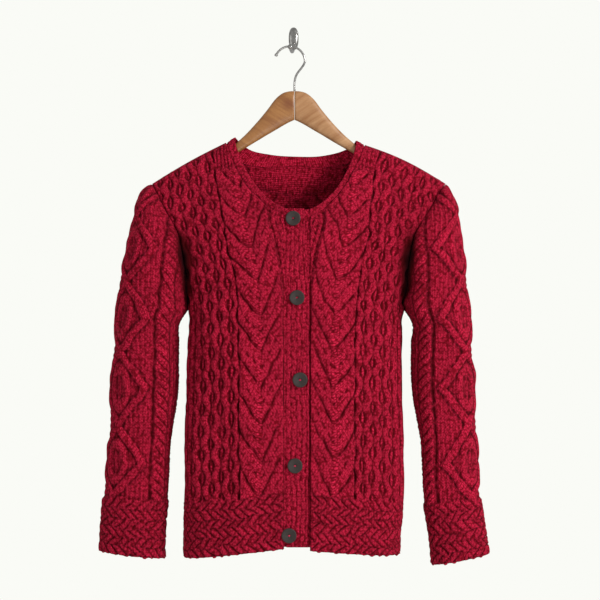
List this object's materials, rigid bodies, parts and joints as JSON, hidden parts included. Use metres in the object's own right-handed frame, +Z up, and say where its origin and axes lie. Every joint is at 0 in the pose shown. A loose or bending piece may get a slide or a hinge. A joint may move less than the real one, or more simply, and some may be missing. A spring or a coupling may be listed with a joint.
{
  "type": "aran cardigan on wooden hanger and wall hook",
  "caption": "Crimson hand-knitted aran wool cardigan with a buttoned front, on a wooden hanger that hangs from a metal wall hook",
  "frame": {"origin": "centre of the back face of the hook plate, flat on the wall", "axes": "+Z up, -Y out of the wall towards the viewer, +X to the viewer's right"},
  "size_m": [0.5797, 0.1474, 0.8088],
  "materials": {
    "red_wool": "matt hand-knit wool",
    "dark_button": "satin",
    "tan_wood": "satin lacquer",
    "bright_wire": "bright",
    "hook_steel": "bright"
  },
  "bodies": {
    "root": {"back": "red_wool", "front_right": "red_wool", "front_left": "red_wool", "sleeve_right": "red_wool", "sleeve_left": "red_wool", "neckband": "red_wool", "buttonhole_band": "red_wool", "button_band": "red_wool", "button_1": "dark_button", "button_2": "dark_button", "button_3": "dark_button", "button_4": "dark_button", "button_5": "dark_button", "hanger_arm_right": "tan_wood", "hanger_arm_left": "tan_wood", "hanger_hook": "bright_wire", "hook_plate": "hook_steel", "hook_prong": "hook_steel", "hook_screw": "hook_steel"}
  },
  "joints": []
}
